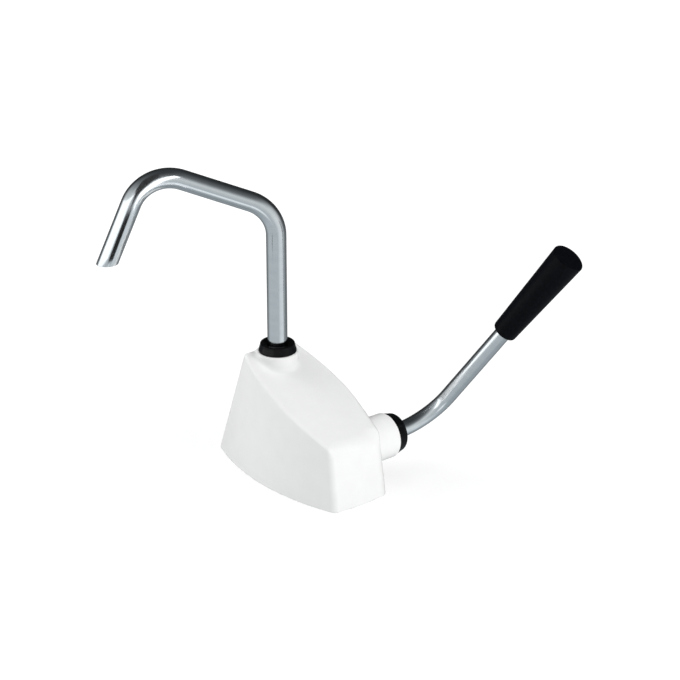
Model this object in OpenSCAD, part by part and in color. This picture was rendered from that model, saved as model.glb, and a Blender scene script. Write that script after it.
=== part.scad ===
// Galley hand pump: a counter-top lever pump with a bent swivel spout,
// a sloping moulded housing and a diaphragm pump under it.
// Millimetres. +Z up, z = 0 on the counter, +X along the lever shaft,
// +Y towards the spout end. Origin at the middle of the four fixing holes.

/* [Housing] */
// Wall thickness of the moulded housing
wall = 3; // [2.6:0.1:3.2]
// Height of the sloping top above the counter at its front edge
front_h = 51.3; // [51:0.1:52]
// Rise of the sloping top for each millimetre along Y
top_slope = 0.378; // [0.37:0.002:0.39]
// Outer radius of the spout boss
spout_boss_r = 16.3; // [16:0.1:17]
// Height of the top of the spout boss
spout_boss_top = 94.3; // [94.1:0.1:94.5]
// Outer radius of the lever boss
lever_boss_r = 18; // [17:0.1:18]
// How far the lever boss reaches out from the middle
lever_boss_x = 46.7; // [46.5:0.1:47]

/* [Spout] */
// Outer radius of the spout tube, 5/8 inch tube
tube_r = 7.9375; // [7.9:0.0125:7.95]
// Wall of the spout tube
tube_wall = 1.2; // [1:0.1:1.5]
// Bend radius of the spout at the centre of the tube
spout_bend_r = 30.8; // [28:0.1:34]
// Height where the upright part of the spout starts to bend
spout_bend_z = 191.5; // [170:0.1:210]
// Angle of the first bend
spout_bend_1 = 68.7; // [60:0.1:75]
// Straight length between the bends
spout_arm = 55.6; // [40:0.1:90]
// Angle of the second bend
spout_bend_2 = 88.6; // [80:0.1:92]
// Length of the outlet leg along its axis
spout_leg = 52; // [40:0.1:60]
// Direction in which the spout points, seen from above
spout_dir = 150; // [0:1:360]

/* [Lever] */
// Outer radius of the lever tube, 1/2 inch tube
rod_r = 6.35; // [6.3:0.05:6.35]
// Wall of the lever tube
rod_wall = 1.6; // [1.4:0.1:2]
// Bend radius of the lever at the centre of the tube
rod_bend_r = 40; // [36:0.5:44]
// Angle of the lever bend
rod_bend = 75.5; // [70:0.5:80]
// Lean of the lever to the front at rest
lever_lean = 33; // [25:0.5:40]
// Straight tube between the bend and the grip
rod_free = 79; // [60:1:100]
// Length of the grip
grip_l = 85.5; // [80:0.5:95]
// Grip radius at the tube end
grip_r1 = 9.8; // [9:0.05:10.2]
// Grip radius at the outer end
grip_r2 = 13; // [12.5:0.1:13.4]
// Lever travel from the front stop to the back stop
lever_travel = 25; // [10:1:25]

/* [Pump] */
// Inside radius of the pump bowl
bowl_r = 22.5; // [22:0.1:22.6]
// Radius of the two diaphragm plates
plate_r = 14.5; // [13:0.1:14.5]
// Radius of the inlet thread
inlet_r = 10.48; // [10:0.01:10.6]
// Lift of the inlet and outlet valves
valve_lift = 2; // [1.5:0.1:2]

/* [Fixing] */
// Distance between the fixing holes along X
fix_x = 28; // [26:0.5:28]
// Distance between the fixing holes along Y
fix_y = 116; // [112:0.5:116]
// Radius of the fixing holes
fix_r = 2.5; // [2:0.1:2.6]

/* [Hidden] */
$fn = 64;

// shaft line, bowl centre, spout centre, inlet centre
ys = -50; zs = 36;
yb = -10;
yp = 29.5;
yi = -19;
// rest position: lever at its front stop, plates raised by half the travel
rest_tilt = lever_travel / 2;
// rear and front limits of the outline at the counter and at the top
b_rear = 76.5; b_front = -76.4;
t_rear = 43; t_front = -69;
rim_r = 28.5;
base_t = 4;
floor_z = 10;
rim_z = 29.5;
mem_t = 1.5;
clamp_z = rim_z + mem_t;
fit = 0.02;
run = 0.05;
pillars = [[29.5, 38], [-29.5, 38], [22.3, -67.5], [-22.3, -67.5]];
bowl_fix = [[17, -4], [-17, -4], [0, 9]];
ring_fix = 25.7;
// valve disc, its lift, a little play and the bridge over it
cage_h = 1.3 + valve_lift + 0.1 + 1.1;

// half width of the outline: widest near the middle, falling off to both ends
function base_w(y) = 40.2 - 0.0025 * (y + 1.4) * (y + 1.4);
function top_w(y) = 32.5 - 0.0026 * (y + 16) * (y + 16);
function top_z(y) = front_h + (y - t_front) * top_slope;
function span(a, b, n) = [for (i = [0:n]) a + (b - a) * i / n];

// outline at the counter, d moves it inwards
module base_outline(d = 0) {
  ya = b_front + d; yz = b_rear - d;
  offset(r = 5) offset(delta = -5)
  polygon(concat(
    [for (y = span(yz, ya, 22)) [base_w(y) - d, y]],
    [for (x = span(18, -18, 6)) [x, ya - 1.2 * (1 - x * x / 324)]],
    [for (y = span(ya, yz, 22)) [-base_w(y) + d, y]]));
}

// outline of the sloping top, seen from above
module top_outline(d = 0) {
  ya = t_front + d; yz = t_rear - d;
  offset(r = 4) offset(delta = -4)
  polygon(concat(
    [for (y = span(yz, ya, 22)) [top_w(y) - d, y]],
    [for (x = span(18, -18, 6)) [x, ya - 1 * (1 - x * x / 324)]],
    [for (y = span(ya, yz, 22)) [-top_w(y) + d, y]]));
}

// body between the two outlines; d is the distance inside the outer skin
module loft(d = 0, z0 = 0) {
  hull() {
    translate([0, 0, z0]) linear_extrude(0.02) base_outline(d);
    multmatrix([[1, 0, 0, 0], [0, 1, 0, 0],
      [0, top_slope, 1, top_z(0) - 0.02 - d * 1.07], [0, 0, 0, 1]])
      linear_extrude(0.02) top_outline(d);
  }
}

// things that lie along the shaft line
module on_shaft(x) { translate([x, ys, zs]) rotate([0, 90, 0]) children(); }

// turns the pump's moving parts from mid stroke to the rest position
module at_rest(a = rest_tilt) {
  translate([0, ys, zs]) rotate([a, 0, 0]) translate([0, -ys, -zs]) children();
}

module ring(ro, ri, h) {
  difference() {
    cylinder(r = ro, h = h);
    translate([0, 0, -1]) cylinder(r = ri, h = h + 2);
  }
}

module o_ring(r_in, r_cord) {
  rotate_extrude() translate([r_in + r_cord, 0]) circle(r = r_cord, $fn = 32);
}

// countersunk-clear pan screw, head down at z = 0.4, shank upwards
module pan_screw(r, head_r, l) {
  translate([0, 0, 0.4]) difference() {
    union() {
      cylinder(r = head_r, h = 1.8);
      cylinder(r = r, h = l);
    }
    for (a = [0, 90]) rotate([0, 0, a])
      translate([-head_r * 0.55, -0.4, -1]) cube([head_r * 1.1, 0.8, 1.9]);
  }
}

module housing() {
  color("white")
  difference() {
    union() {
      difference() {
        loft();
        loft(wall, -0.05);
      }
      intersection() {
        loft();
        union() {
          for (p = pillars) translate([p[0], p[1], base_t + 0.05]) cylinder(r = 4, h = 20);
          on_shaft(-45) cylinder(r = 14, h = 25);
        }
      }
      translate([0, yp, 63.5]) cylinder(r = spout_boss_r, h = spout_boss_top - 63.5);
      on_shaft(20) cylinder(r = lever_boss_r, h = lever_boss_x - 20);
    }
    translate([0, yp, 61.5]) cylinder(r = 12.5, h = 40);
    on_shaft(18) cylinder(r = 9.52, h = 40);
    on_shaft(-25.5) cylinder(r = 9.52, h = 12);
    for (p = pillars) translate([p[0], p[1], 0]) cylinder(r = 1.52, h = 18);
  }
}

module base_plate() {
  color("dimgray")
  difference() {
    union() {
      intersection() {
        loft(wall + 0.15);
        translate([-60, -100, 0]) cube([120, 200, base_t]);
      }
      for (x = [-1, 1], y = [-1, 1])
        translate([x * fix_x / 2, y * fix_y / 2, 0]) cylinder(r = 6.5, h = 11.5);
    }
    translate([0, yi, -1]) cylinder(r = 13 + fit, h = 20);
    for (x = [-1, 1], y = [-1, 1])
      translate([x * fix_x / 2, y * fix_y / 2, -1]) cylinder(r = 4 + fit, h = 11.2);
    for (p = pillars) translate([p[0], p[1], -1]) {
      cylinder(r = 1.7, h = 20);
      cylinder(r = 3.2, h = 3.25);
    }
    for (p = bowl_fix) translate([p[0], p[1], -1]) {
      cylinder(r = 1.7, h = 20);
      cylinder(r = 3.2, h = 3.25);
    }
  }
}

module base_screws() {
  color("silver") for (p = pillars) translate([p[0], p[1], 0]) pan_screw(1.5, 3, 15);
}

module bowl_screws() {
  color("silver") for (p = bowl_fix) translate([p[0], p[1], 0]) pan_screw(1.5, 3, 8);
}

module mounting_inserts() {
  color("goldenrod")
  for (x = [-1, 1], y = [-1, 1])
    translate([x * fix_x / 2, y * fix_y / 2, 0]) ring(4, fix_r, 10);
}

// threaded inlet bush with the seat of the inlet valve on top
module inlet_fitting() {
  color("goldenrod") translate([0, yi, 0])
  difference() {
    cylinder(r = 13, h = floor_z);
    translate([0, 0, -1]) cylinder(r = inlet_r, h = 9);
    translate([0, 0, 7]) cylinder(r = 6.5, h = 5);
  }
}

module pump_bowl() {
  color("darkslategray")
  difference() {
    union() {
      translate([0, yb, base_t]) cylinder(r = 26.5, h = rim_z - base_t);
      translate([0, yb, 22]) cylinder(r = rim_r, h = rim_z - 22);
      translate([-8, 8, base_t]) cube([16, 18, 15]);
      translate([0, yp, base_t]) cylinder(r = 12.5, h = 25.2);
    }
    translate([0, yb, floor_z]) cylinder(r = bowl_r, h = 30);
    translate([0, yi, 0]) cylinder(r = 13 + fit, h = 20);
    // passage from the bowl to the chamber under the outlet valve
    translate([0, 6, 12.2]) rotate([-90, 0, 0]) cylinder(r = 3.2, h = yp - 6);
    translate([0, yp, 8]) cylinder(r = 5.5, h = 20);
    translate([0, yp, 15.5]) cylinder(r = 9.5, h = 20);
    translate([0, yp, 25]) rotate_extrude() translate([10.4, 0]) circle(r = 1, $fn = 32);
    for (a = [0:60:300]) translate([ring_fix * cos(a), yb + ring_fix * sin(a), 22.5])
      cylinder(r = 1.42, h = 12);
    for (p = bowl_fix) translate([p[0], p[1], 0]) cylinder(r = 1.52, h = 9);
  }
}

// rubber sheet: clamped rim, cone and the flat middle between the plates
module diaphragm() {
  color("black")
  difference() {
    union() {
      difference() {
        translate([0, yb, rim_z]) cylinder(r = rim_r, h = mem_t);
        translate([0, yb, rim_z - 1]) cylinder(r = 21.4, h = 5);
      }
      difference() {
        hull() {
          translate([0, yb, rim_z]) cylinder(r = 22.3, h = mem_t, $fn = 48);
          at_rest() translate([0, yb, rim_z]) cylinder(r = 16.2, h = mem_t, $fn = 48);
        }
        hull() {
          translate([0, yb, rim_z - 3]) cylinder(r = 21.6, h = 3, $fn = 48);
          at_rest() translate([0, yb, rim_z - 1.5]) cylinder(r = 15.2, h = 1.5, $fn = 48);
        }
      }
    }
    at_rest() translate([0, yb, rim_z - 5]) cylinder(r = 3.05, h = 10);
    for (a = [0:60:300]) translate([ring_fix * cos(a), yb + ring_fix * sin(a), rim_z - 1])
      cylinder(r = 1.42, h = 5);
  }
}

module clamp_ring() {
  color("silver")
  translate([0, yb, clamp_z]) difference() {
    ring(rim_r, 22.8, 3);
    for (a = [0:60:300]) translate([ring_fix * cos(a), ring_fix * sin(a), -1])
      cylinder(r = 1.45, h = 5);
  }
}

module clamp_ring_screws() {
  color("silver")
  for (a = [0:60:300]) translate([ring_fix * cos(a), yb + ring_fix * sin(a), 0])
    difference() {
      union() {
        translate([0, 0, 22.8]) cylinder(r = 1.4, h = clamp_z + 3 - 22.8 + 0.5);
        translate([0, 0, clamp_z + 3]) cylinder(r = 2.6, h = 1.8);
      }
      translate([0, 0, clamp_z + 3.8]) cylinder(r = 1.3, h = 5, $fn = 6);
    }
}

module upper_plate() {
  color("silver") at_rest() translate([0, yb, clamp_z]) ring(plate_r, 3.05, 2);
}

module lower_plate() {
  color("silver") at_rest() translate([0, yb, rim_z - 2]) ring(plate_r, 3.05, 2);
}

module diaphragm_bolt() {
  color("silver") at_rest() translate([0, yb, rim_z - 4.5]) {
    cylinder(r = 5, h = 2.5, $fn = 6);
    cylinder(r = 3, h = 29);
  }
}

module diaphragm_nut() {
  color("silver") at_rest() translate([0, yb, 48]) difference() {
    cylinder(r = 5.6, h = 4.6, $fn = 6);
    translate([0, 0, -1]) cylinder(r = 3.02, h = 7);
  }
}

// crank on the shaft that raises and lowers the plates
module rocker_arm() {
  color("slategray") at_rest() difference() {
    union() {
      on_shaft(-11) cylinder(r = 10, h = 22);
      translate([-7, ys - 5, 42]) cube([14, yb - ys + 5, 6]);
      translate([0, yb, 42]) cylinder(r = 10, h = 6);
      translate([0, yb, clamp_z + 2]) cylinder(r = 7.5, h = 12);
      translate([-2.5, ys + 6, 47]) cube([5, yb - ys - 18, 4]);
    }
    on_shaft(-20) cylinder(r = rod_r + fit, h = 40);
    translate([0, yb, 20]) cylinder(r = 3.05, h = 40);
    translate([0, ys, 10]) cylinder(r = 2 + fit, h = 50);
  }
}

module rocker_pin() {
  color("silver") at_rest() translate([0, ys, 26.4]) cylinder(r = 2, h = 21);
}

module shaft_bush_outer() {
  color("ivory") on_shaft(20.5) ring(9.5, rod_r + run, 26);
}

module shaft_bush_inner() {
  color("ivory") on_shaft(-25.4) ring(9.5, rod_r + run, 7.9);
}

module lever_seal() {
  color("black") on_shaft(48.6) o_ring(rod_r + run, 1.6);
}

// collar that closes the lever boss: a wall that leans in, a rounded rim and a
// shallow recess round the rod
module lever_collar() {
  rim = 4;
  color("black") on_shaft(lever_boss_x)
  rotate_extrude() difference() {
    union() {
      polygon([[0, 0], [lever_boss_r - 0.9, 0], [lever_boss_r - 0.8, 0.4],
               [lever_boss_r - 2.3, 6.4], [0, 6.4]]);
      translate([lever_boss_r - 2.3 - rim, 6.4]) circle(r = rim);
      square([lever_boss_r - 2.3 - rim, 6.4 + rim]);
    }
    translate([-1, -1]) square([rod_r + 0.45 + 1, 14]);
    translate([-1, -1]) square([10.9, 4.8]);
    translate([-1, 9.5]) square([rod_r + 3.5, 2]);
    translate([0, -10]) square([30, 10]);
  }
}

// tube section, and a straight and a bent length of tube
module tube_section(ro, ri) { difference() { circle(r = ro); circle(r = ri); } }
module straight_tube(ro, ri, l) { linear_extrude(l) tube_section(ro, ri); }
// a bend starts upwards at the origin and turns towards +X; it is drawn a
// hundredth smaller than the straight lengths and reaches half a millimetre
// into them
module bent_tube(ro, ri, bend_r, a, lap = 1) {
  translate([bend_r, 0, 0]) rotate([90, 0, 180]) rotate([0, 0, -lap])
    rotate_extrude(angle = a + 2 * lap) translate([bend_r, 0]) tube_section(ro - 0.01, ri + 0.01);
}
module after_bend(bend_r, a) {
  translate([bend_r, 0, 0]) rotate([0, a, 0]) translate([-bend_r, 0, 0]) children();
}

// frame at the start of the lever's bend, and along the lever after it
module at_lever_bend() {
  translate([57, ys, zs]) rotate([lever_lean, 0, 0]) rotate([0, 90, 0]) rotate([0, 0, 180]) children();
}
module on_lever(l) {
  at_lever_bend() after_bend(rod_bend_r, rod_bend) translate([0, 0, l]) children();
}

module lever_rod() {
  ri = rod_r - rod_wall;
  color("silver") difference() {
    union() {
      at_lever_bend() {
        translate([0, 0, -82.2]) straight_tube(rod_r, ri, 82.2);
        bent_tube(rod_r, ri, rod_bend_r, rod_bend);
      }
      on_lever(0) straight_tube(rod_r, ri, rod_free + grip_l - 9);
    }
    at_rest() translate([0, ys, 10]) cylinder(r = 2 + fit, h = 50);
  }
}

module lever_grip() {
  color("black") on_lever(rod_free) difference() {
    rotate_extrude() difference() {
      union() {
        polygon([[0, 0], [grip_r1 - 0.8, 0], [grip_r1, 0.9], [grip_r2, grip_l - 1.4],
          [grip_r2 - 0.5, grip_l - 0.4], [grip_r2 - 1.4, grip_l], [0, grip_l]]);
      }
      translate([-1, -1]) square([rod_r + fit + 1, grip_l - 7.5]);
    }
  }
}

// rubber-faced disc with a guide stem
module valve(r) {
  cylinder(r = r, h = 1.3);
  cylinder(r = 1.5, h = cage_h - 0.1);
}

// open cage over a valve: foot ring, posts and a bridge with a guide hole
module cage(r_out, h) {
  difference() {
    union() {
      ring(r_out, r_out - 1, 1);
      for (a = [0, 90, 180, 270]) rotate([0, 0, a])
        translate([r_out - 1, -1.5, 0]) cube([0.9, 3, h]);
      for (a = [0, 90]) rotate([0, 0, a])
        translate([-r_out + 0.1, -1.5, h - 1.1]) cube([2 * r_out - 0.2, 3, 1.1]);
      translate([0, 0, h - 1.1]) cylinder(r = 3.2, h = 1.1);
    }
    translate([0, 0, -1]) cylinder(r = 1.5 + run, h = h + 2);
  }
}

module inlet_valve() {
  color("dimgray") translate([0, yi, floor_z]) valve(8);
}

module inlet_valve_cage() {
  color("ivory") translate([0, yi, floor_z]) cage(10, cage_h);
}

module outlet_valve() {
  color("dimgray") translate([0, yp, 15.5]) valve(7.5);
}

module outlet_valve_cage() {
  color("ivory") translate([0, yp, 15.5]) cage(9.48, cage_h);
}

module riser_pipe() {
  color("gainsboro") translate([0, yp, 20.5]) ring(9.48, 7.2, 51);
}

module riser_seals() {
  color("black") for (z = [25, 66.5]) translate([0, yp, z])
    rotate_extrude() difference() {
      translate([10.4, 0]) circle(r = 0.98, $fn = 32);
      translate([8, -2]) square([1.5, 4]);
    }
}

// bearing sleeve in the spout boss: pipe below, spout tube above
module spout_socket() {
  color("ivory") translate([0, yp, 0]) difference() {
    union() {
      translate([0, 0, 59]) cylinder(r = 15, h = 4.5);
      translate([0, 0, 59]) cylinder(r = 12.48, h = 35);
    }
    translate([0, 0, 50]) cylinder(r = 9.5, h = 21.7);
    translate([0, 0, 60]) cylinder(r = tube_r + run, h = 50);
    translate([0, 0, 66.5]) rotate_extrude() translate([10.4, 0]) circle(r = 1, $fn = 32);
    for (z = [78.5, 87.5]) translate([0, 0, z]) rotate_extrude()
      translate([tube_r + run + 1.1, 0]) circle(r = 1.12, $fn = 32);
  }
}

module spout_seals() {
  color("black") for (z = [78.5, 87.5]) translate([0, yp, z]) o_ring(tube_r + run, 1.1);
}

// collar on the spout boss, over the retaining ring: a wall that leans in, a
// rounded rim and a top dished towards the tube
module spout_collar() {
  rim = 1.6;
  color("black") translate([0, yp, spout_boss_top])
  rotate_extrude() polygon(concat(
    [[tube_r + 0.4, 3.2], [11.9, 3.2], [11.9, 0], [14.9, 0], [15.25, 0.4], [15.0, 1.6]],
    [for (a = [8:16:136]) [12.3 + rim * cos(a), 5.85 + rim * sin(a)]],
    [[10.2, 6.3], [9.2, 5.6], [tube_r + 0.4, 5.25]]));
}

module spout_retaining_ring() {
  color("silver") translate([0, yp, spout_boss_top + 0.7]) difference() {
    ring(10.3, tube_r - 0.65, 1.4);
    translate([0, -3, -1]) cube([20, 6, 4]);
  }
}

spout_turn = spout_bend_1 + spout_bend_2;
// height of the level cut at the outlet
outlet_z = spout_bend_z + spout_bend_r * sin(spout_bend_1) + spout_arm * cos(spout_bend_1)
  + spout_bend_r * (sin(spout_turn) - sin(spout_bend_1)) + spout_leg * cos(spout_turn);

module spout_tube() {
  ri = tube_r - tube_wall;
  color("silver") translate([0, yp, 0]) rotate([0, 0, spout_dir]) difference() {
    union() {
      translate([0, 0, 72.1]) straight_tube(tube_r, ri, spout_bend_z - 72.1);
      translate([0, 0, spout_bend_z]) {
        bent_tube(tube_r, ri, spout_bend_r, spout_bend_1);
        after_bend(spout_bend_r, spout_bend_1) {
          straight_tube(tube_r, ri, spout_arm);
          translate([0, 0, spout_arm]) {
            bent_tube(tube_r, ri, spout_bend_r, spout_bend_2);
            after_bend(spout_bend_r, spout_bend_2) straight_tube(tube_r, ri, spout_leg + 8);
          }
        }
      }
    }
    // outlet cut level with the counter
    translate([60, -30, outlet_z - 60]) cube([120, 60, 60]);
    // groove of the retaining ring
    translate([0, 0, spout_boss_top + 0.6]) ring(tube_r + 2, tube_r - 0.7, 1.6);
  }
}

housing();
base_plate();
base_screws();
mounting_inserts();
inlet_fitting();
pump_bowl();
bowl_screws();
diaphragm();
clamp_ring();
clamp_ring_screws();
upper_plate();
lower_plate();
diaphragm_bolt();
diaphragm_nut();
rocker_arm();
rocker_pin();
shaft_bush_outer();
shaft_bush_inner();
lever_seal();
lever_collar();
lever_rod();
lever_grip();
inlet_valve();
inlet_valve_cage();
outlet_valve();
outlet_valve_cage();
riser_pipe();
riser_seals();
spout_socket();
spout_seals();
spout_collar();
spout_retaining_ring();
spout_tube();
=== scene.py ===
# Galley hand pump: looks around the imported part. Metres, in the part's frame.
import math

import bmesh
import bpy
import numpy as np
from mathutils import Matrix, Vector


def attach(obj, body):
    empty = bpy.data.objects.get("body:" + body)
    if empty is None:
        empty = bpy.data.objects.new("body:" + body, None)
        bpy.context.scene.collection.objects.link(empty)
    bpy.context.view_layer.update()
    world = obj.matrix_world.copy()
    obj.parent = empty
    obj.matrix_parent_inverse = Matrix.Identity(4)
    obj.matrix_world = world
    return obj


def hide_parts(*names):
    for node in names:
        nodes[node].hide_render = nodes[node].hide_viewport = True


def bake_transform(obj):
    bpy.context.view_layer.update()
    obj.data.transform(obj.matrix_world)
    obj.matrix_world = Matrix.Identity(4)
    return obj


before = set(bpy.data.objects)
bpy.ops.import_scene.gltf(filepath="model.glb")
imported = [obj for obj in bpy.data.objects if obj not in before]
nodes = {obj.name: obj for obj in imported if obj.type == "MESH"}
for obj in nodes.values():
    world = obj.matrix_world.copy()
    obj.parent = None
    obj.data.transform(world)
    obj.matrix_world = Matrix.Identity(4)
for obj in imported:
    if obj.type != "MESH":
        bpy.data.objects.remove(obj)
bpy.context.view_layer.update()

scene = bpy.context.scene
MM = 0.001


# ---------------------------------------------------------------- materials
def material(name, low, high, rough, metallic=0.0, scale=220.0, bump=0.05,
             bump_scale=900.0, bump_depth=0.0001, specular=0.5, coat=0.0,
             stretch=(1, 1, 1), coords="Object", rough_scale=60.0, detail=4.0):
    """A procedural surface: colour between low and high, roughness between
    rough[0] and rough[1] and a fine bump, all from noise."""
    m = bpy.data.materials.new(name)
    m.use_nodes = True
    t = m.node_tree
    t.nodes.clear()
    out = t.nodes.new("ShaderNodeOutputMaterial")
    p = t.nodes.new("ShaderNodeBsdfPrincipled")
    t.links.new(p.outputs["BSDF"], out.inputs["Surface"])
    p.inputs["Metallic"].default_value = metallic
    p.inputs["Specular IOR Level"].default_value = specular
    p.inputs["Coat Weight"].default_value = coat
    p.inputs["Coat Roughness"].default_value = 0.06
    tc = t.nodes.new("ShaderNodeTexCoord")
    mp = t.nodes.new("ShaderNodeMapping")
    mp.inputs["Scale"].default_value = stretch
    t.links.new(tc.outputs[coords], mp.inputs["Vector"])

    def noise(s, d):
        n = t.nodes.new("ShaderNodeTexNoise")
        n.inputs["Scale"].default_value = s
        n.inputs["Detail"].default_value = d
        n.inputs["Roughness"].default_value = 0.55
        t.links.new(mp.outputs["Vector"], n.inputs["Vector"])
        return n

    ramp = t.nodes.new("ShaderNodeValToRGB")
    ramp.color_ramp.elements[0].position = 0.3
    ramp.color_ramp.elements[1].position = 0.7
    ramp.color_ramp.elements[0].color = (*low, 1)
    ramp.color_ramp.elements[1].color = (*high, 1)
    t.links.new(noise(scale, detail).outputs["Fac"], ramp.inputs["Fac"])
    t.links.new(ramp.outputs["Color"], p.inputs["Base Color"])
    mr = t.nodes.new("ShaderNodeMapRange")
    mr.inputs["From Min"].default_value = 0.3
    mr.inputs["From Max"].default_value = 0.7
    mr.inputs["To Min"].default_value = rough[0]
    mr.inputs["To Max"].default_value = rough[1]
    t.links.new(noise(rough_scale, 3.0).outputs["Fac"], mr.inputs["Value"])
    t.links.new(mr.outputs["Result"], p.inputs["Roughness"])
    b = t.nodes.new("ShaderNodeBump")
    b.inputs["Strength"].default_value = bump
    b.inputs["Distance"].default_value = bump_depth
    t.links.new(noise(bump_scale, 2.0).outputs["Fac"], b.inputs["Height"])
    t.links.new(b.outputs["Normal"], p.inputs["Normal"])
    return m


WHITE = material("white_moulding", (0.815, 0.815, 0.805), (0.835, 0.835, 0.828),
                 (0.16, 0.22), scale=90, bump=0.05, bump_scale=700)
COLLAR = material("black_moulding", (0.0015, 0.0015, 0.0018), (0.004, 0.004, 0.0045),
                  (0.09, 0.16), scale=300, bump=0.04, bump_scale=1200, specular=0.14)
GRIP = material("black_grip", (0.0014, 0.0016, 0.0024), (0.0036, 0.004, 0.0056),
                (0.30, 0.40), scale=500, bump=0.16, bump_scale=1500, specular=0.05)
CHROME = material("polished_tube", (0.69, 0.725, 0.745), (0.74, 0.775, 0.795),
                  (0.12, 0.18), metallic=1.0, scale=160, bump=0.02,
                  bump_scale=500, coords="UV", stretch=(0.15, 1, 1))
STEEL = material("plain_steel", (0.50, 0.50, 0.49), (0.60, 0.60, 0.59),
                 (0.26, 0.38), metallic=1.0, scale=400, bump=0.08)
ARM = material("cast_arm", (0.36, 0.37, 0.38), (0.46, 0.46, 0.47),
               (0.42, 0.56), metallic=1.0, scale=350, bump=0.3, bump_scale=700)
BRASS = material("brass", (0.62, 0.43, 0.17), (0.76, 0.56, 0.26),
                 (0.22, 0.36), metallic=1.0, scale=350, bump=0.08)
RUBBER = material("black_rubber", (0.012, 0.012, 0.012), (0.024, 0.024, 0.023),
                  (0.55, 0.7), scale=420, bump=0.2)
GREY = material("grey_plastic", (0.10, 0.105, 0.11), (0.14, 0.145, 0.15),
                (0.42, 0.55), scale=260, bump=0.22, bump_scale=1000)
IVORY = material("ivory_plastic", (0.70, 0.66, 0.55), (0.78, 0.74, 0.63),
                 (0.34, 0.45), scale=260, bump=0.12)

CAD_LOOKS = {
    "base_plate": (GREY, "grey_plastic"), "base_screws": (STEEL, "plain_steel"),
    "mounting_inserts": (BRASS, "brass"), "inlet_fitting": (BRASS, "brass"),
    "pump_bowl": (GREY, "grey_plastic"), "bowl_screws": (STEEL, "plain_steel"),
    "clamp_ring": (STEEL, "plain_steel"), "clamp_ring_screws": (STEEL, "plain_steel"),
    "upper_plate": (STEEL, "plain_steel"), "lower_plate": (STEEL, "plain_steel"),
    "diaphragm_bolt": (STEEL, "plain_steel"), "diaphragm_nut": (STEEL, "plain_steel"),
    "rocker_arm": (ARM, "arm_metal"), "rocker_pin": (STEEL, "plain_steel"),
    "shaft_bush_outer": (IVORY, "ivory_plastic"),
    "shaft_bush_inner": (IVORY, "ivory_plastic"), "lever_seal": (RUBBER, "rubber"),
    "inlet_valve": (RUBBER, "rubber"), "inlet_valve_cage": (IVORY, "ivory_plastic"),
    "outlet_valve": (RUBBER, "rubber"), "outlet_valve_cage": (IVORY, "ivory_plastic"),
    "riser_pipe": (IVORY, "ivory_plastic"), "riser_seals": (RUBBER, "rubber"),
    "spout_socket": (IVORY, "ivory_plastic"), "spout_seals": (RUBBER, "rubber"),
    "spout_retaining_ring": (STEEL, "plain_steel"),
}
for name, (mat, slot) in CAD_LOOKS.items():
    nodes[name].data.materials.clear()
    nodes[name].data.materials.append(mat)


# ---------------------------------------------------------------- mesh helpers
def build(name, verts, faces, mat, body, stands_for=(), sharp=None, uvs=None,
          normals=None):
    """A mesh object from points in millimetres."""
    me = bpy.data.meshes.new(name)
    v = (np.asarray(verts, float) * MM)
    me.from_pydata(v.tolist(), [], [tuple(int(i) for i in f) for f in faces])
    me.validate()
    me.materials.append(mat)
    me.shade_smooth()
    if sharp is not None:
        me.set_sharp_from_angle(angle=math.radians(sharp))
    if uvs is not None:
        layer = me.uv_layers.new(name="along")
        loops = np.zeros(len(me.loops), np.int32)
        me.loops.foreach_get("vertex_index", loops)
        layer.data.foreach_set("uv", np.asarray(uvs, np.float32)[loops].ravel())
    if normals is not None:
        me.normals_split_custom_set_from_vertices(np.asarray(normals, float).tolist())
    me.update()
    o = bpy.data.objects.new(name, me)
    scene.collection.objects.link(o)
    if body:
        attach(o, body)
    if stands_for:
        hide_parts(*stands_for)
    return o


def basis(axis):
    a = np.asarray(axis, float)
    a = a / np.linalg.norm(a)
    h = np.array([0, 0, 1.0]) if abs(a[2]) < 0.9 else np.array([1.0, 0, 0])
    u = np.cross(h, a)
    u /= np.linalg.norm(u)
    return a, u, np.cross(a, u)


def lathe(profile, n, origin, axis):
    """A closed profile of (radius, height) turned about axis; heights along it."""
    a, u, w = basis(axis)
    pr = np.asarray(profile, float)
    th = np.linspace(0, 2 * np.pi, n, endpoint=False)
    ring = np.cos(th)[:, None] * u + np.sin(th)[:, None] * w
    verts = (np.asarray(origin, float) + pr[:, None, 1, None] * a
             + pr[:, None, 0, None] * ring[None]).reshape(-1, 3)
    faces = []
    k = len(pr)
    for i in range(k):
        j = (i + 1) % k
        for s in range(n):
            e = (s + 1) % n
            q = [i * n + s, i * n + e, j * n + e, j * n + s]
            faces.append(q)
    return verts, faces


def arc(cx, cy, rx, ry, a0, a1, n):
    """Points on an ellipse from angle a0 to a1, in degrees."""
    return [(cx + rx * math.cos(math.radians(a0 + (a1 - a0) * i / n)),
             cy + ry * math.sin(math.radians(a0 + (a1 - a0) * i / n)))
            for i in range(n + 1)]


def tidy(o, merge=1e-7):
    """Merges points that coincide and turns the faces outwards."""
    bm = bmesh.new()
    bm.from_mesh(o.data)
    bmesh.ops.remove_doubles(bm, verts=bm.verts, dist=merge)
    bmesh.ops.dissolve_degenerate(bm, edges=bm.edges, dist=1e-9)
    bmesh.ops.recalc_face_normals(bm, faces=bm.faces)
    bm.to_mesh(o.data)
    bm.free()
    o.data.update()


# ---------------------------------------------------------------- housing
def rmax(a, b, r):
    """Intersection with a rounded edge of radius r."""
    return np.minimum(-r, np.maximum(a, b)) + np.hypot(np.maximum(a + r, 0),
                                                      np.maximum(b + r, 0))


def rmin(a, b, r):
    """Union with a fillet of radius r."""
    return -rmax(-a, -b, r)


def smooth(a, b, x):
    t = np.clip((x - a) / (b - a), 0, 1)
    return t * t * (3 - 2 * t)


# sloping top: height at the front edge and rise; rear and front ends of the outline
# at the counter and at the top
TOP0, SLOPE = 51.3, 0.378
REAR0, FRONT0, REAR1, FRONT1 = 76.5, -76.4, 43.0, -69.0


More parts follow.
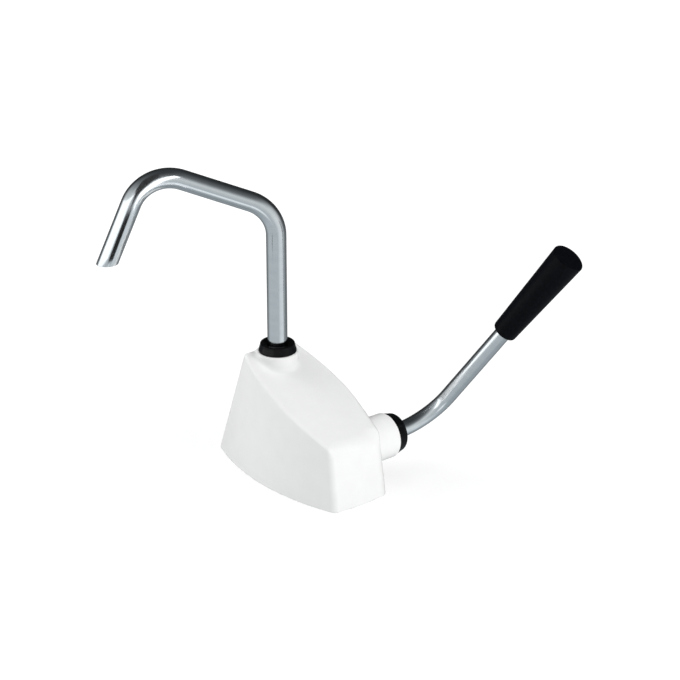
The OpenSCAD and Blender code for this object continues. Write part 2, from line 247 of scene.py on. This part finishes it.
def base_w(y):
    return 40.2 - 0.0025 * (y + 1.4) ** 2


def top_w(y):
    return 32.5 - 0.0026 * (y + 16) ** 2


def walls(x, y, z):
    """Signed distances to the side, front, rear and top walls."""
    lb, lt = REAR0 - FRONT0, REAR1 - FRONT1
    z0 = TOP0 + lt * SLOPE
    z1 = -lt * SLOPE
    qa = lb * z1
    qb = (y - REAR0) * z1 + lb * z0 - (lb - lt) * z
    qc = (y - REAR0) * z0 + (REAR0 - REAR1) * z
    s = -2 * qc / (qb + np.sqrt(np.maximum(qb * qb - 4 * qa * qc, 0)))
    s = np.clip(s, -0.1, 1.1)
    yb, yt = REAR0 - lb * s, REAR1 - lt * s
    t = np.clip(z / (z0 + z1 * s), -0.1, 1.15)
    w = (1 - t) * base_w(yb) + t * top_w(yt)
    side = (np.abs(x) - w) * 0.985
    bow = 0.6 * (1 + np.cos(np.pi * np.clip(x / 22, -1, 1)))
    lean = FRONT1 - FRONT0
    front = (-(y - FRONT0 + bow) * TOP0 + z * lean) / math.hypot(TOP0, lean)
    rear = ((y - REAR0) * z0 + z * (REAR0 - REAR1)) / math.hypot(z0, REAR0 - REAR1)
    top = (z - TOP0 - (y - FRONT1) * SLOPE) / math.hypot(1, SLOPE)
    return side, front, rear, top


def housing_field(p):
    x, y, z = p[..., 0], p[..., 1], p[..., 2]
    side, front, rear, top = walls(x, y, z)
    skin = rmax(rmax(side, front, 4.0 + 2.5 * smooth(-10, 10, x)), rear, 3.0)
    # crisp along the left, soft over the front and beside the lever
    edge = (2.0 + 5.0 * smooth(-5, 4, front - side)
            + 2.8 * smooth(5, 20, x) * smooth(-14, -46, y))
    skin = rmax(skin, top, edge)
    cavity = rmax(rmax(rmax(side + 3, front + 3, 2.0), rear + 3, 2.0), top + 3, 1.5)
    cavity = np.maximum(cavity, skin + 1.6 + 1.2 * smooth(20, 30, z))
    skin = rmax(skin, -z, 0.7)
    sr = np.hypot(x, y - 29.5)
    lr = np.hypot(y + 50, z - 36)
    spout = np.maximum(rmax(sr - 16.3, z - 94.3, 0.9), 63.5 - z)
    lever = np.maximum(rmax(lr - 18, x - 46.7, 1.2), 20 - x)
    outer = rmin(rmin(skin, spout, 2.8), lever, 0.4 + 3.6 * smooth(24, 34, x))
    inner = np.maximum(lr - 14, x + 20)
    keep = np.minimum(np.minimum(spout, lever), inner)
    for px, py in ((29.5, 38), (-29.5, 38), (22.3, -67.5), (-22.3, -67.5)):
        pil = np.maximum(np.maximum(np.hypot(x - px, y - py) - 4, 4.05 - z), z - 24)
        keep = np.minimum(keep, pil)
    body = np.maximum(outer, -np.maximum(cavity, -keep))
    body = np.maximum(body, -np.maximum(sr - 12.5, 58.5 - z))
    body = np.maximum(body, -np.maximum(lr - 9.52, 18 - x))
    body = np.maximum(body, -np.maximum(np.maximum(lr - 9.52, -25.5 - x), x + 13.5))
    return body


def surface_net(field, lo, hi, step):
    """Quads on the zero surface of field, one point for each cell it crosses."""
    n = [int(math.ceil((hi[i] - lo[i]) / step)) + 1 for i in range(3)]
    ax = [lo[i] + step * np.arange(n[i]) for i in range(3)]
    f = np.empty(n, np.float64)
    for i in range(n[0]):
        g = np.stack(np.meshgrid([ax[0][i]], ax[1], ax[2], indexing="ij"), -1)
        f[i] = field(g)[0]
    neg = f < 0
    corner = [(a, b, c) for a in (0, 1) for b in (0, 1) for c in (0, 1)]

    def cut(arr, o):
        return arr[o[0]:n[0] - 1 + o[0], o[1]:n[1] - 1 + o[1], o[2]:n[2] - 1 + o[2]]

    total = sum(cut(neg, o).astype(np.int8) for o in corner)
    live = (total > 0) & (total < 8)
    cells = np.argwhere(live)
    index = -np.ones(live.shape, np.int64)
    index[live] = np.arange(len(cells))
    acc = np.zeros((len(cells), 3))
    cnt = np.zeros(len(cells))
    for a in corner:
        for d in range(3):
            if a[d] == 1:
                continue
            b = list(a)
            b[d] = 1
            ca, cb = cells + np.array(a), cells + np.array(b)
            fa, fb = f[tuple(ca.T)], f[tuple(cb.T)]
            hit = (fa < 0) != (fb < 0)
            t = np.where(hit, fa / np.where(hit, fa - fb, 1), 0)
            acc += np.where(hit[:, None], ca + t[:, None] * (cb - ca), 0)
            cnt += hit
    verts = np.array(lo) + step * acc / cnt[:, None]
    quads = []
    for d in range(3):
        e1, e2 = (d + 1) % 3, (d + 2) % 3
        sl0, sl1 = [slice(None)] * 3, [slice(None)] * 3
        sl0[d], sl1[d] = slice(0, n[d] - 1), slice(1, n[d])
        edge = np.argwhere(neg[tuple(sl0)] != neg[tuple(sl1)])
        edge = edge[(edge[:, e1] > 0) & (edge[:, e1] < n[e1] - 1)
                    & (edge[:, e2] > 0) & (edge[:, e2] < n[e2] - 1)]
        o1, o2 = np.zeros(3, int), np.zeros(3, int)
        o1[e1], o2[e2] = 1, 1
        q = np.stack([index[tuple((edge - o1 - o2).T)], index[tuple((edge - o2).T)],
                      index[tuple(edge.T)], index[tuple((edge - o1).T)]], 1)
        flip = ~neg[tuple(edge.T)]
        q[flip] = q[flip][:, ::-1]
        quads.append(q)
    return verts, np.concatenate(quads)


def gradient(field, p, h=0.04):
    g = np.empty_like(p)
    for i in range(3):
        d = np.zeros(3)
        d[i] = h
        g[:, i] = (field(p + d) - field(p - d)) / (2 * h)
    return g


def make_housing():
    v, q = surface_net(housing_field, (-43, -82, -2), (50, 80, 98), 1.0)
    for _ in range(5):
        g = gradient(housing_field, v)
        step = housing_field(v)[:, None] * g / np.maximum((g * g).sum(1), 0.2)[:, None]
        v = v - np.clip(step, -0.5, 0.5)
    g = gradient(housing_field, v)
    g /= np.maximum(np.linalg.norm(g, axis=1), 1e-9)[:, None]
    return build("housing_shell", v, q, WHITE, "pump", ("housing",),
                 normals=g)


make_housing()

# ---------------------------------------------------------------- collars
prof = ([(11.95, 0.0), (14.7, 0.0), (15.02, 0.1), (15.2, 0.35), (15.2, 0.75),
         (15.02, 1.6), (14.74, 2.6), (14.45, 3.6), (14.16, 4.6), (13.93, 5.4)]
        + arc(12.32, 5.85, 1.58, 1.6, 4, 128, 22)
        + [(10.95, 6.7), (10.45, 6.3), (9.9, 5.93), (9.3, 5.6), (8.75, 5.36),
           (8.45, 5.22), (8.36, 5.05), (8.36, 3.3), (8.5, 3.2), (11.75, 3.2),
           (11.95, 3.0)])
v, q = lathe(prof, 128, (0, 29.5, 94.3), (0, 0, 1))
o = build("spout_collar_cap", v, q, COLLAR, "pump", ("spout_collar",))
tidy(o)
o.data.set_sharp_from_angle(angle=math.radians(50))

prof = ([(10.0, 0.0), (16.7, 0.0), (17.05, 0.12), (17.18, 0.45), (16.82, 2.0), (16.24, 4.3),
         (15.78, 6.0)]
        + arc(11.7, 6.4, 4.0, 4.0, 2, 88, 24)
        + [(11.2, 10.38), (10.6, 10.3), (10.15, 10.1), (9.85, 9.8), (9.5, 9.6), (8.6, 9.52),
           (7.6, 9.46), (7.0, 9.38), (6.84, 9.2), (6.82, 8.8), (6.82, 3.9), (7.0, 3.8),
           (9.8, 3.8), (10.0, 3.6)])
v, q = lathe(prof, 128, (46.7, -50, 36), (1, 0, 0))
o = build("lever_collar_cap", v, q, COLLAR, "pump", ("lever_collar",))
tidy(o)
o.data.set_sharp_from_angle(angle=math.radians(50))


# ---------------------------------------------------------------- tubes
def sweep(path, normal, outer, wall, n, name, mat, body, stands_for,
          level=None):
    """A hollow tube along path, a list of (point, tangent, radius change), that lies
    in the plane across normal. Level cuts the last end at that height."""
    nn = np.asarray(normal, float)
    nn = nn / np.linalg.norm(nn)
    th = np.linspace(0, 2 * np.pi, n, endpoint=False)
    rings, uv = [], []
    length = 0.0
    last = None

    def ring_at(c, t, r):
        b = np.cross(nn, t)
        return c + r * (np.cos(th)[:, None] * nn + np.sin(th)[:, None] * b)

    pts = [(np.asarray(c, float), np.asarray(t, float) / np.linalg.norm(t), dr)
           for c, t, dr in path]
    # rounded ends: the skin turns in over the last half millimetre
    c0, t0, _ = pts[0]
    c1, t1, _ = pts[-1]
    lip = 0.35
    turn = [math.radians(a) for a in (0, 22.5, 45, 67.5, 90)]
    stations = []
    for a in reversed(turn):
        stations.append((c0 + t0 * lip * (1 - math.cos(math.pi / 2 - a)), t0,
                         outer - lip * (1 - math.cos(a)), False))
    for c, t, dr in pts[1:-1]:
        stations.append((c, t, outer + dr, False))
    for a in turn:
        stations.append((c1 - t1 * lip * (1 - math.cos(math.pi / 2 - a)), t1,
                         outer - lip * (1 - math.cos(a)), True))
    for a in reversed(turn):
        stations.append((c1 - t1 * lip * (1 - math.cos(math.pi / 2 - a)), t1,
                         outer - wall + lip * (1 - math.cos(a)), True))
    for c, t, dr in reversed(pts[1:-1]):
        stations.append((c, t, outer - wall, False))
    for a in turn:
        stations.append((c0 + t0 * lip * (1 - math.cos(math.pi / 2 - a)), t0,
                         outer - wall + lip * (1 - math.cos(a)), False))
    for c, t, r, at_end in stations:
        pr = ring_at(c, t, r)
        if level is not None and at_end:
            # slide each point along the tube to the level plane
            drop = (c - c1) @ t1
            pr = pr + ((level - pr[:, 2]) / t1[2] + drop)[:, None] * t1
        rings.append(pr)
        if last is not None:
            length += np.linalg.norm(c - last)
        last = c
        uv.append(np.stack([th * outer * MM, np.full(n, length * MM)], 1))
    verts = np.concatenate(rings)
    k = len(rings)
    faces = []
    for i in range(k):
        j = (i + 1) % k
        for s in range(n):
            e = (s + 1) % n
            faces.append([i * n + s, i * n + e, j * n + e, j * n + s])
    o = build(name, verts, faces, mat, body, stands_for, uvs=np.concatenate(uv))
    tidy(o)
    return o


def rot(axis, deg, v):
    return np.array(Matrix.Rotation(math.radians(deg), 3, Vector(axis)) @ Vector(v))


def spout_path():
    """The spout's centre line in its own upright plane, then turned to its place."""
    out = []

    def put(s, z, a, dr=0.0):
        d = math.radians(150)
        ra = math.radians(a)
        h = math.sin(ra)
        out.append(((s * math.cos(d), 29.5 + s * math.sin(d), z),
                    (h * math.cos(d), h * math.sin(d), math.cos(ra)), dr))

    for z in (72.1, 72.7, 81.0, 93.0, 94.88):
        put(0, z, 0)
    put(0, 94.9, 0, -0.7)
    put(0, 96.5, 0, -0.7)
    for z in (96.52, 98, 111, 131, 151, 171, 186):
        put(0, z, 0)
    br, a1, a2 = 30.8, 68.7, 88.6
    z0 = 191.5
    for i in range(37):
        a = a1 * i / 36
        put(br * (1 - math.cos(math.radians(a))), z0 + br * math.sin(math.radians(a)), a)
    s, z = out_s(br, a1), z0 + br * math.sin(math.radians(a1))
    for f in (0.1, 0.3, 0.5, 0.7, 0.9):
        put(s + 55.6 * f * math.sin(math.radians(a1)),
            z + 55.6 * f * math.cos(math.radians(a1)), a1)
    s += 55.6 * math.sin(math.radians(a1))
    z += 55.6 * math.cos(math.radians(a1))
    for i in range(45):
        a = a1 + a2 * i / 44
        put(s + br * (math.cos(math.radians(a1)) - math.cos(math.radians(a))),
            z + br * (math.sin(math.radians(a)) - math.sin(math.radians(a1))), a)
    at = a1 + a2
    s += br * (math.cos(math.radians(a1)) - math.cos(math.radians(at)))
    z += br * (math.sin(math.radians(at)) - math.sin(math.radians(a1)))
    for f in (0.15, 0.4, 0.65, 0.85):
        put(s + 52 * f * math.sin(math.radians(at)),
            z + 52 * f * math.cos(math.radians(at)), at)
    put(s + 52 * math.sin(math.radians(at)), z + 52 * math.cos(math.radians(at)), at)
    return out


def out_s(br, a):
    return br * (1 - math.cos(math.radians(a)))


sp = spout_path()
plane = (-math.sin(math.radians(150)), math.cos(math.radians(150)), 0)
sweep(sp, plane, 7.9375, 1.2, 96, "spout_pipe", CHROME, "spout",
      ("spout_tube",), level=sp[-1][0][2])


def lever_path():
    out = []
    lean = math.radians(33)
    w = np.array([0, -math.sin(lean), math.cos(lean)])
    x = np.array([1.0, 0, 0])
    s0 = np.array([0, -50.0, 36.0])
    for px in (-25.2, -24.5, -12, 0, 12, 24, 36, 46, 54):
        out.append((s0 + px * x, x, 0.0))
    c0 = s0 + 57 * x
    br, a1 = 40, 75.5
    for i in range(41):
        a = math.radians(a1 * i / 40)
        out.append((c0 + br * math.sin(a) * x + br * (1 - math.cos(a)) * w,
                    math.cos(a) * x + math.sin(a) * w, 0.0))
    a = math.radians(a1)
    e = c0 + br * math.sin(a) * x + br * (1 - math.cos(a)) * w
    d = math.cos(a) * x + math.sin(a) * w
    for f in (10, 25, 40, 55, 70, 79, 100, 120, 140, 154.5, 155.5):
        out.append((e + f * d, d, 0.0))
    return out, e, d, np.cross(x, w)


lp, bend_end, lever_dir, lever_normal = lever_path()
sweep(lp, lever_normal, 6.35, 1.6, 80, "lever_tube", CHROME, "lever",
      ("lever_rod",))

# ---------------------------------------------------------------- grip
gl, g1, g2 = 85.5, 9.8, 13.0
slope = math.degrees(math.atan2(g2 - g1, gl))
prof = ([(6.37, 0.25), (6.6, 0.02), (7.2, 0.0)]
        + arc(g1 - 1.15, 1.15, 1.15, 1.15, -90, 0, 8)
        + [(g1 + (g2 - g1) * (f - 1.15) / (gl - 2.5), f)
           for f in np.linspace(3, gl - 1.6, 30)]
        + arc(g2 - 1.25, gl - 1.3, 1.25, 1.25, 2, 84, 9)
        + [(g2 - 2.2, gl - 0.02), (8.0, gl - 0.05), (4.0, gl - 0.1), (1.2, gl - 0.12),
           (0.0, gl - 0.12), (0.0, gl - 8.4), (4.0, gl - 8.4), (6.0, gl - 8.4),
           (6.37, gl - 8.7), (6.37, 40)])
v, q = lathe(prof, 96, bend_end + 79 * lever_dir, lever_dir)
o = build("lever_handle", v, q, GRIP, "lever", ("lever_grip",))
tidy(o)
o.data.set_sharp_from_angle(angle=math.radians(55))


# ---------------------------------------------------------------- diaphragm
def diaphragm():
    """Clamped rim on the pump, middle on the lever, and between them a rolling cone in sectors,
    each a fixed shape that curves from the outer rim in to the raised middle."""
    c = np.array([0, -10.0, 30.25])
    tilt = math.radians(12.5)
    piv = np.array([0, -50.0, 36.0])

    def raised(p):
        d = np.asarray(p, float) - piv
        return piv + np.array([d[0], d[1] * math.cos(tilt) - d[2] * math.sin(tilt),
                               d[1] * math.sin(tilt) + d[2] * math.cos(tilt)])

    v, q = lathe([(21.6, -0.72), (28.5, -0.75), (28.5, 0.75), (21.6, 0.72)], 96, c,
                 (0, 0, 1))
    o = build("diaphragm_rim", v, q, RUBBER, "pump", ("diaphragm",), sharp=40)
    tidy(o)
    o.data.set_sharp_from_angle(angle=math.radians(40))
    v, q = lathe([(3.05, -0.75), (16.0, -0.72), (16.0, 0.72), (3.05, 0.75)], 96, c,
                 (0, 0, 1))
    o = build("diaphragm_middle", [raised(p) for p in v], q, RUBBER, "lever",
              ("diaphragm",))
    tidy(o)
    o.data.set_sharp_from_angle(angle=math.radians(40))
    count, rings, per = 16, 10, 6
    for k in range(count):
        a0 = 2 * math.pi * k / count
        verts, faces = [], []
        for i in range(rings + 1):
            f = i / rings
            for j in range(per + 1):
                a = a0 + 2 * math.pi / count * j / per
                d = np.array([math.cos(a), math.sin(a), 0])
                lo = c + d * 21.7
                hi = raised(c + d * 15.9)
                s = f * f * (3 - 2 * f)
                mid = np.array([*(lo + (hi - lo) * f)[:2], lo[2] + (hi[2] - lo[2]) * s])
                verts.append(mid + [0, 0, 0.7])
                verts.append(mid - [0, 0, 0.7])
        w = 2 * (per + 1)
        for i in range(rings):
            for j in range(per):
                p = i * w + 2 * j
                faces.append([p, p + 2, p + w + 2, p + w])
                faces.append([p + 1, p + w + 1, p + w + 3, p + 3])
            p = i * w
            faces.append([p, p + w, p + w + 1, p + 1])
            p = i * w + 2 * per
            faces.append([p, p + 1, p + w + 1, p + w])
        for j in range(per):
            p = 2 * j
            faces.append([p, p + 1, p + 3, p + 2])
            p = rings * w + 2 * j
            faces.append([p, p + 2, p + 3, p + 1])
        o = build("diaphragm_fold_%02d" % (k + 1), verts, faces, RUBBER, None,
                  ("diaphragm",))
        tidy(o)
        o.data.set_sharp_from_angle(angle=math.radians(50))
        am = a0 + math.pi / count
        d = np.array([math.cos(am), math.sin(am), 0])
        s, e = c + d * 21.6, raised(c + d * 16.0)
        s[2] = e[2] = c[2]
        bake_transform(o)


diaphragm()


# ---------------------------------------------------------------- stage
def floor():
    me = bpy.data.meshes.new("floor")
    me.from_pydata([(-18, -18, 0), (18, -18, 0), (18, 18, 0), (-18, 18, 0)], [], [(0, 1, 2, 3)])
    m = bpy.data.materials.new("pale_floor")
    m.use_nodes = True
    p = m.node_tree.nodes["Principled BSDF"]
    p.inputs["Base Color"].default_value = (0.35, 0.35, 0.35, 1)
    p.inputs["Roughness"].default_value = 0.9
    p.inputs["Specular IOR Level"].default_value = 0.1
    p.inputs["Emission Color"].default_value = (1, 1, 1, 1)
    # pale all over, a little brighter away from the object
    t = m.node_tree
    tc = t.nodes.new("ShaderNodeTexCoord")
    mp = t.nodes.new("ShaderNodeMapping")
    mp.inputs["Scale"].default_value = (0.75, 0.75, 0.75)
    gr = t.nodes.new("ShaderNodeTexGradient")
    gr.gradient_type = "SPHERICAL"
    mr = t.nodes.new("ShaderNodeMapRange")
    mr.inputs["To Min"].default_value = 0.93
    mr.inputs["To Max"].default_value = 0.67
    t.links.new(tc.outputs["Object"], mp.inputs["Vector"])
    t.links.new(mp.outputs["Vector"], gr.inputs["Vector"])
    t.links.new(gr.outputs["Fac"], mr.inputs["Value"])
    t.links.new(mr.outputs["Result"], p.inputs["Emission Strength"])
    me.materials.append(m)
    o = bpy.data.objects.new("floor", me)
    scene.collection.objects.link(o)
    o.visible_glossy = False


floor()


def area(name, direction, distance, size, power, target=(0.03, 0, 0.1), color=(1, 1, 1)):
    """A soft box that looks at the object."""
    d = Vector(direction).normalized()
    li = bpy.data.lights.new(name, "AREA")
    li.shape = "RECTANGLE"
    li.size, li.size_y = size
    li.energy = power
    li.color = color
    o = bpy.data.objects.new(name, li)
    o.location = Vector(target) + d * distance
    o.rotation_mode = "QUATERNION"
    o.rotation_quaternion = d.to_track_quat("Z", "Y")
    scene.collection.objects.link(o)
    return o


key = area("key", (0.3, -0.82, 0.48), 1.7, (0.8, 0.8), 16.0)
key.visible_glossy = False
over = area("overhead", (0.05, 0.0, 1.0), 1.6, (1.2, 1.2), 8.9)
over.visible_glossy = False
# the tubes mirror this one; it gives the matt surfaces nothing
box = area("left_box", (-0.98, 0.19, 0.05), 1.5, (2.4, 0.6), 3.6)
box.visible_diffuse = False
rim = area("back_left", (-0.35, 0.75, 0.56), 1.6, (1.0, 1.0), 14)
rim.visible_glossy = False
rim = area("edge_light", (-0.56, 0.30, 0.77), 1.6, (1.3, 0.5), 3.6)
rim.visible_glossy = False


def card(name, rungs, shade, light=0.0):
    """A strip of card that only the gloss sees, to paint reflections into the chrome: dark for
    a painted dark reflection, or pale with its own light for a painted highlight.
    """
    me = bpy.data.meshes.new(name)
    me.from_pydata([p for rung in rungs for p in rung], [],
                   [(2 * i, 2 * i + 1, 2 * i + 3, 2 * i + 2) for i in range(len(rungs) - 1)])
    m = bpy.data.materials.new(name)
    m.use_nodes = True
    p = m.node_tree.nodes["Principled BSDF"]
    p.inputs["Base Color"].default_value = (shade, shade, shade, 1)
    p.inputs["Roughness"].default_value = 1.0
    p.inputs["Specular IOR Level"].default_value = 0.0
    p.inputs["Emission Color"].default_value = (1, 1, 1, 1)
    p.inputs["Emission Strength"].default_value = light
    me.materials.append(m)
    o = bpy.data.objects.new(name, me)
    scene.collection.objects.link(o)
    o.visible_camera = False
    o.visible_diffuse = False
    o.visible_shadow = False


# a dark card beside the spout's end that paints a dark reflection into the tube; a pale glowing
# strip and a dark strip before its second bend that paint a highlight and a dark streak into
# the bend
card("spout_dark_reflection_card", [((-0.1886, 0.0202, 0.148), (-0.1201, 0.0055, 0.130)),
                    ((-0.1886, 0.0202, 0.207), (-0.1201, 0.0055, 0.188))], 0.02)
card("bend_painted_highlight_strip", [((-0.0790, 0.0083, 0.2725), (-0.0730, 0.0137, 0.2825)),
                    ((-0.0906, 0.0088, 0.2647), (-0.0813, 0.0189, 0.2862)),
                    ((-0.1054, 0.0124, 0.2372), (-0.1046, 0.0207, 0.2743)),
                    ((-0.1014, 0.0217, 0.2072), (-0.1191, 0.0212, 0.2520)),
                    ((-0.0902, 0.0311, 0.1918), (-0.1215, 0.0223, 0.2283)),
                    ((-0.0849, 0.0335, 0.1881), (-0.1225, 0.0248, 0.2161)),
                    ((-0.0858, 0.0306, 0.1888), (-0.1090, 0.0248, 0.1994))], 0.8, 1.3)
card("bend_dark_reflection_card", [((-0.1099, 0.0302, 0.2820), (-0.0946, 0.0656, 0.3059)),
                   ((-0.1208, 0.0269, 0.2647), (-0.1049, 0.0798, 0.3027)),
                   ((-0.1275, 0.0256, 0.2392), (-0.1291, 0.0840, 0.2885)),
                   ((-0.1285, 0.0269, 0.2224), (-0.1502, 0.0636, 0.2593)),
                   ((-0.1246, 0.0268, 0.2083), (-0.1397, 0.0346, 0.2187)),
                   ((-0.1219, 0.0266, 0.2017), (-0.1346, 0.0318, 0.2074))], 0.05)

def studio():
    """The room: a pale counter below, a bright front wall that darkens upwards and a
    dark back. Only the gloss sees the lower half, because the floor hides the rest."""
    w = bpy.data.worlds.new("studio")
    scene.world = w
    w.use_nodes = True
    t = w.node_tree
    t.nodes.clear()
    out = t.nodes.new("ShaderNodeOutputWorld")
    bg = t.nodes.new("ShaderNodeBackground")
    tc = t.nodes.new("ShaderNodeTexCoord")
    sep = t.nodes.new("ShaderNodeSeparateXYZ")
    t.links.new(tc.outputs["Generated"], sep.inputs["Vector"])
    up = t.nodes.new("ShaderNodeMapRange")
    up.inputs["From Min"].default_value = -1.0
    t.links.new(sep.outputs["Z"], up.inputs["Value"])

    def ramp(stops):
        r = t.nodes.new("ShaderNodeValToRGB")
        el = r.color_ramp.elements
        while len(el) < len(stops):
            el.new(0.5)
        for e, (at, v, cool) in zip(el, stops):
            e.position = at
            e.color = (v * (1 - cool), v, v * (1 + 0.6 * cool), 1)
        t.links.new(up.outputs["Result"], r.inputs["Fac"])
        return r

    def towards(direction, lo, hi, to=1.0):
        d = t.nodes.new("ShaderNodeVectorMath")
        d.operation = "DOT_PRODUCT"
        d.inputs[1].default_value = direction
        t.links.new(tc.outputs["Generated"], d.inputs[0])
        m = t.nodes.new("ShaderNodeMapRange")
        m.interpolation_type = "SMOOTHSTEP"
        m.inputs["From Min"].default_value = lo
        m.inputs["From Max"].default_value = hi
        m.inputs["To Max"].default_value = to
        t.links.new(d.outputs["Value"], m.inputs["Value"])
        return m

    front = ramp([(0.0, 0.30, 0.10), (0.05, 0.45, 0.10), (0.15, 0.55, 0.08), (0.32, 0.57, 0.07),
                  (0.5, 0.66, 0.03), (0.61, 0.74, 0.03), (0.69, 0.60, 0.04),
                  (0.78, 0.31, 0.05), (0.86, 0.155, 0.06), (1.0, 0.05, 0.08)])
    back = ramp([(0.0, 0.39, 0.10), (0.15, 0.25, 0.08), (0.32, 0.18, 0.07),
                 (0.5, 0.055, 0.05), (0.65, 0.028, 0.05), (1.0, 0.042, 0.08)])
    side = towards((-0.7071, -0.7071, 0), -0.62, 0.2)
    mix = t.nodes.new("ShaderNodeMix")
    mix.data_type = "RGBA"
    t.links.new(side.outputs["Result"], mix.inputs["Factor"])
    t.links.new(back.outputs["Color"], mix.inputs[6])
    t.links.new(front.outputs["Color"], mix.inputs[7])
    last = mix.outputs[2]
    for glow in (towards((0.302, -0.877, -0.375), 0.80, 1.0, 0.25),
                 towards((-0.41, -0.64, -0.65), 0.970, 0.9986, 0.5)):
        add = t.nodes.new("ShaderNodeVectorMath")
        t.links.new(last, add.inputs[0])
        t.links.new(glow.outputs["Result"], add.inputs[1])
        last = add.outputs["Vector"]
    t.links.new(last, bg.inputs["Color"])
    t.links.new(bg.outputs["Background"], out.inputs["Surface"])


studio()

scene.view_settings.view_transform = "Standard"
scene.view_settings.look = "None"
scene.view_settings.exposure = 0.0

cam_data = bpy.data.cameras.new("camera")
cam_data.sensor_width = 36
cam_data.lens = 119.0
cam_data.clip_start, cam_data.clip_end = 0.05, 50
cam = bpy.data.objects.new("camera", cam_data)
az, el = math.radians(-38.79), math.radians(23.27)
back = Vector((math.sin(az) * math.cos(el), -math.cos(az) * math.cos(el), math.sin(el)))
cam.location = Vector((0.0396, 0, 0.10235)) + back * 1.776
cam.rotation_mode = "QUATERNION"
cam.rotation_quaternion = back.to_track_quat("Z", "Y")
scene.collection.objects.link(cam)
scene.camera = cam
